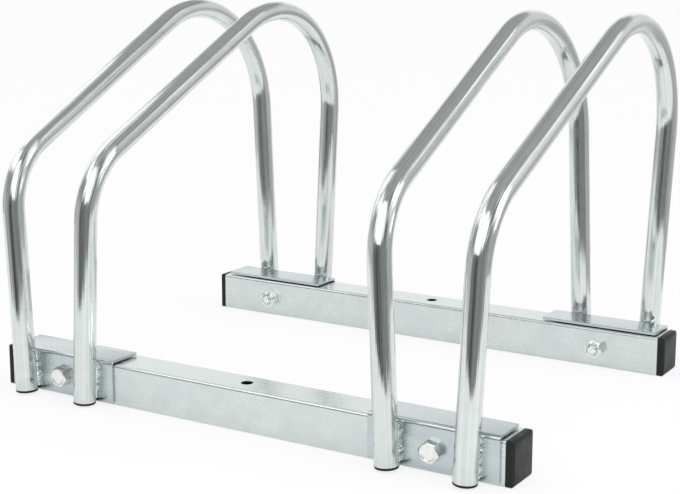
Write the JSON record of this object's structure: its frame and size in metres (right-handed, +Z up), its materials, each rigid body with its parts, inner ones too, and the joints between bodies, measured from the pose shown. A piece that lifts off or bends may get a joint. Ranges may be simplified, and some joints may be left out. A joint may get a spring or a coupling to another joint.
{
  "type": "bicycle rack",
  "caption": "Low floor rack that holds bicycles by a wheel: square tube rails carry pairs of bent round-tube hoops, welded to angle brackets bolted over the rails.",
  "frame": {"origin": "on the floor, at the middle of the rack's length and depth", "axes": "+X along the rails to the right, +Y from the low front bends of the hoops towards their high rear bends, +Z up"},
  "size_m": [0.413, 0.336, 0.2772],
  "materials": {
    "rail_zinc": "satin bright zinc plate with a faint mottle",
    "bracket_zinc": "satin bright zinc plate, slightly blue",
    "hoop_zinc": "glossy bright zinc plate with fine draw lines along the tube",
    "bolt_zinc": "bright zinc plate",
    "weld_zinc": "lumpy weld metal under bright zinc plate",
    "nylon": "milky nylon",
    "black_plastic": "moulded black plastic with a fine grain"
  },
  "bodies": {
    "root": {"rail_front": "rail_zinc", "rail_rear": "rail_zinc", "rail_cap_front_left": "black_plastic", "rail_cap_front_right": "black_plastic", "rail_cap_rear_left": "black_plastic", "rail_cap_rear_right": "black_plastic", "bracket_front_left": "bracket_zinc", "bracket_front_right": "bracket_zinc", "bracket_rear_left": "bracket_zinc", "bracket_rear_right": "bracket_zinc", "hoop_left_outer": "hoop_zinc", "hoop_left_inner": "hoop_zinc", "hoop_right_inner": "hoop_zinc", "hoop_right_outer": "hoop_zinc", "plug_left_outer_front": "black_plastic", "plug_left_outer_rear": "black_plastic", "plug_left_inner_front": "black_plastic", "plug_left_inner_rear": "black_plastic", "plug_right_inner_front": "black_plastic", "plug_right_inner_rear": "black_plastic", "plug_right_outer_front": "black_plastic", "plug_right_outer_rear": "black_plastic", "bolt_front_left": "bolt_zinc", "bolt_front_right": "bolt_zinc", "bolt_rear_left": "bolt_zinc", "bolt_rear_right": "bolt_zinc", "nut_front_left": "bolt_zinc", "nut_front_right": "bolt_zinc", "nut_rear_left": "bolt_zinc", "nut_rear_right": "bolt_zinc", "nylon_ring_front_left": "nylon", "nylon_ring_front_right": "nylon", "nylon_ring_rear_left": "nylon", "nylon_ring_rear_right": "nylon", "weld_front_left": "weld_zinc", "weld_front_right": "weld_zinc", "weld_rear_left": "weld_zinc", "weld_rear_right": "weld_zinc"}
  },
  "joints": []
}
